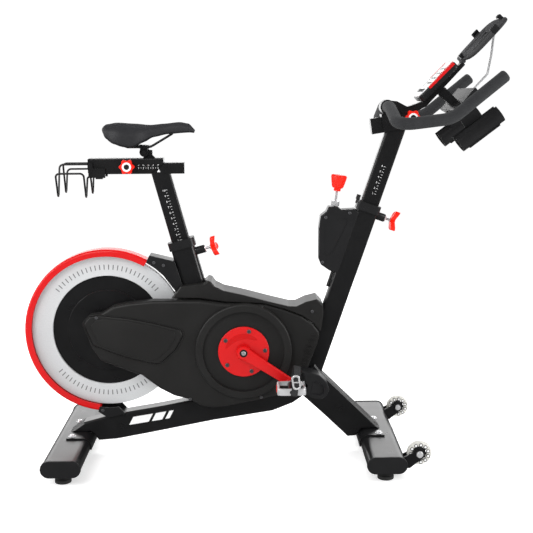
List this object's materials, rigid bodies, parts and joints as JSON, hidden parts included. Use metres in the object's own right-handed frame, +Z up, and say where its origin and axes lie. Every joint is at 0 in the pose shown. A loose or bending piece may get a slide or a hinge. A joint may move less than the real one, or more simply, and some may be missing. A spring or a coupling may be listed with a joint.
{
  "type": "indoor spin bike",
  "caption": "Indoor spin bike with a hooded flywheel, covered belt drive, toe-cage pedals, sliding saddle and handlebar posts, console, tablet tray, bottle holders and dumbbell rack.",
  "frame": {"origin": "on the floor, under the middle of the whole bike's length and width", "axes": "+X towards the handlebar, +Y to the rider's left, +Z up"},
  "size_m": [1.4944, 0.59, 1.3744],
  "materials": {
    "black_frame": "satin black powder coat",
    "black_plastic": "fine-grained black moulded plastic",
    "cover_plastic": "matt dark grey moulded plastic",
    "gloss_black": "glossy black plastic",
    "red_metal": "glossy red paint",
    "red_plastic": "glossy red plastic",
    "chrome": "bright plated",
    "steel": "machined steel",
    "flywheel_ring": "silver paint",
    "rubber": "matt black rubber",
    "foam": "dark grey foam grip",
    "wheel_clear": "clear soft polyurethane",
    "saddle_skin": "black synthetic leather",
    "wire_black": "black coated wire"
  },
  "bodies": {
    "frame": {"stabilizers": "black_frame", "stabilizer_end_caps": "black_plastic", "frame_hardware": "chrome", "lower_beam": "black_frame", "front_leg": "black_frame", "head_tube": "black_frame", "seat_tube": "black_frame", "frame_spine": "black_frame", "wheel_brackets": "black_frame", "flywheel_guard": "red_metal", "guard_brackets": "black_plastic", "cover_screws": "steel", "right_side_cover": "cover_plastic", "left_side_cover": "cover_plastic", "top_cover": "cover_plastic", "hatch_panels": "cover_plastic", "drive_belt": "rubber", "bearings": "steel", "flywheel_axle": "steel", "post_collars": "black_plastic", "lever_housing_right": "black_plastic", "lever_housing_left": "black_plastic", "brake_cable": "rubber"},
    "crankset": {"spindles": "steel", "drive_pulley": "black_plastic", "right_crank": "red_metal", "left_crank": "red_metal", "crank_discs": "red_metal", "disc_screws": "steel"},
    "flywheel": {"flywheel_rim": "flywheel_ring", "flywheel_disc": "black_frame", "flywheel_hub": "steel"},
    "right_pedal": {"right_pedal": "black_plastic", "right_toe_cage": "black_plastic"},
    "left_pedal": {"left_pedal": "black_plastic", "left_toe_cage": "black_plastic"},
    "right_wheel": {"right_transport_wheel": "wheel_clear"},
    "left_wheel": {"left_transport_wheel": "wheel_clear"},
    "foot_rear_right": {"foot_rear_right": "rubber"},
    "foot_rear_left": {"foot_rear_left": "rubber"},
    "foot_front_right": {"foot_front_right": "rubber"},
    "foot_front_left": {"foot_front_left": "rubber"},
    "seat_post": {"seat_post": "black_frame"},
    "seat_carriage": {"seat_carriage": "black_frame", "dumbbell_rack": "wire_black"},
    "seat_knob": {"seat_knob": "red_plastic"},
    "saddle": {"saddle": "saddle_skin", "saddle_clamp": "black_frame"},
    "seat_pin": {"seat_pin_knob": "red_plastic"},
    "bar_post": {"bar_post": "black_frame"},
    "bar_carriage": {"bar_carriage": "black_frame", "handlebar": "foam", "bottle_holders": "black_plastic", "console": "gloss_black", "tablet_tray": "black_plastic"},
    "bar_knob": {"bar_knob": "red_plastic"},
    "bar_pin": {"bar_pin_knob": "red_plastic"},
    "resistance_shaft": {"resistance_shaft": "chrome"},
    "resistance_knob": {"resistance_knob": "red_plastic"},
    "brake_arm": {"brake_arm": "steel"}
  },
  "joints": [
    {"name": "flywheel_spin", "type": "hinge", "parent": "frame", "child": "flywheel", "pos_m": [-0.485, 0, 0.414], "axis": [0, 1, 0], "continuous": true},
    {"name": "crank_spin", "type": "hinge", "parent": "frame", "child": "crankset", "pos_m": [-0.054, 0, 0.357], "axis": [0, 1, 0], "continuous": true},
    {"name": "right_pedal_spin", "type": "hinge", "parent": "crankset", "child": "right_pedal", "pos_m": [0.09193, -0.166, 0.26041], "axis": [0, 1, 0], "continuous": true},
    {"name": "left_pedal_spin", "type": "hinge", "parent": "crankset", "child": "left_pedal", "pos_m": [-0.19993, 0.166, 0.45359], "axis": [0, 1, 0], "continuous": true},
    {"name": "right_wheel_spin", "type": "hinge", "parent": "frame", "child": "right_wheel", "pos_m": [0.476, -0.24, 0.076], "axis": [0, 1, 0], "continuous": true},
    {"name": "left_wheel_spin", "type": "hinge", "parent": "frame", "child": "left_wheel", "pos_m": [0.476, 0.24, 0.076], "axis": [0, 1, 0], "continuous": true},
    {"name": "foot_rear_right_screw", "type": "slide", "parent": "frame", "child": "foot_rear_right", "axis": [0, 0, -1], "range_m": [0, 0.012]},
    {"name": "foot_rear_left_screw", "type": "slide", "parent": "frame", "child": "foot_rear_left", "axis": [0, 0, -1], "range_m": [0, 0.012]},
    {"name": "foot_front_right_screw", "type": "slide", "parent": "frame", "child": "foot_front_right", "axis": [0, 0, -1], "range_m": [0, 0.012]},
    {"name": "foot_front_left_screw", "type": "slide", "parent": "frame", "child": "foot_front_left", "axis": [0, 0, -1], "range_m": [0, 0.012]},
    {"name": "seat_height", "type": "slide", "parent": "frame", "child": "seat_post", "axis": [-0.2588, 0, 0.9659], "range_m": [-0.16, 0.06]},
    {"name": "seat_fore_aft", "type": "slide", "parent": "seat_post", "child": "seat_carriage", "axis": [1, 0, 0], "range_m": [-0.06, 0.05]},
    {"name": "seat_knob_turn", "type": "hinge", "parent": "seat_carriage", "child": "seat_knob", "pos_m": [-0.407, -0.04, 0.935], "axis": [0, -1, 0], "range_deg": [0, 720]},
    {"name": "saddle_tilt", "type": "hinge", "parent": "seat_carriage", "child": "saddle", "pos_m": [-0.356, 0, 0.978], "axis": [0, 1, 0], "range_deg": [-10, 10]},
    {"name": "seat_pin_pull", "type": "slide", "parent": "frame", "child": "seat_pin", "axis": [0.9659, 0, 0.2588], "range_m": [0, 0.01], "stiffness_N_per_m": 900, "springref_m": -0.004},
    {"name": "bar_height", "type": "slide", "parent": "frame", "child": "bar_post", "axis": [0.3256, 0, 0.9455], "range_m": [-0.14, 0.07]},
    {"name": "bar_fore_aft", "type": "slide", "parent": "bar_post", "child": "bar_carriage", "axis": [0.9888, 0, 0.1495], "range_m": [-0.03, 0.03]},
    {"name": "bar_knob_turn", "type": "hinge", "parent": "bar_carriage", "child": "bar_knob", "pos_m": [0.472, -0.04, 1.078], "axis": [0, -1, 0], "range_deg": [0, 720]},
    {"name": "bar_pin_pull", "type": "slide", "parent": "frame", "child": "bar_pin", "axis": [0.9455, 0, -0.3256], "range_m": [0, 0.01], "stiffness_N_per_m": 900, "springref_m": -0.004},
    {"name": "resistance_push", "type": "slide", "parent": "frame", "child": "resistance_shaft", "axis": [-0.1392, 0, -0.9903], "range_m": [0, 0.012], "stiffness_N_per_m": 1500, "springref_m": -0.003},
    {"name": "resistance_turn", "type": "hinge", "parent": "resistance_shaft", "child": "resistance_knob", "pos_m": [0.24656, 0, 0.87], "axis": [0.1392, 0, 0.9903], "continuous": true},
    {"name": "brake_swing", "type": "hinge", "parent": "frame", "child": "brake_arm", "pos_m": [-0.217, 0, 0.352], "axis": [0, 1, 0], "range_deg": [-2.6, 0]}
  ],
  "couplings": [
    {"joint": "crank_spin", "follows": "flywheel_spin", "ratio": 0.25},
    {"joint": "brake_swing", "follows": "resistance_push", "rad_per_m": -3.6361}
  ]
}
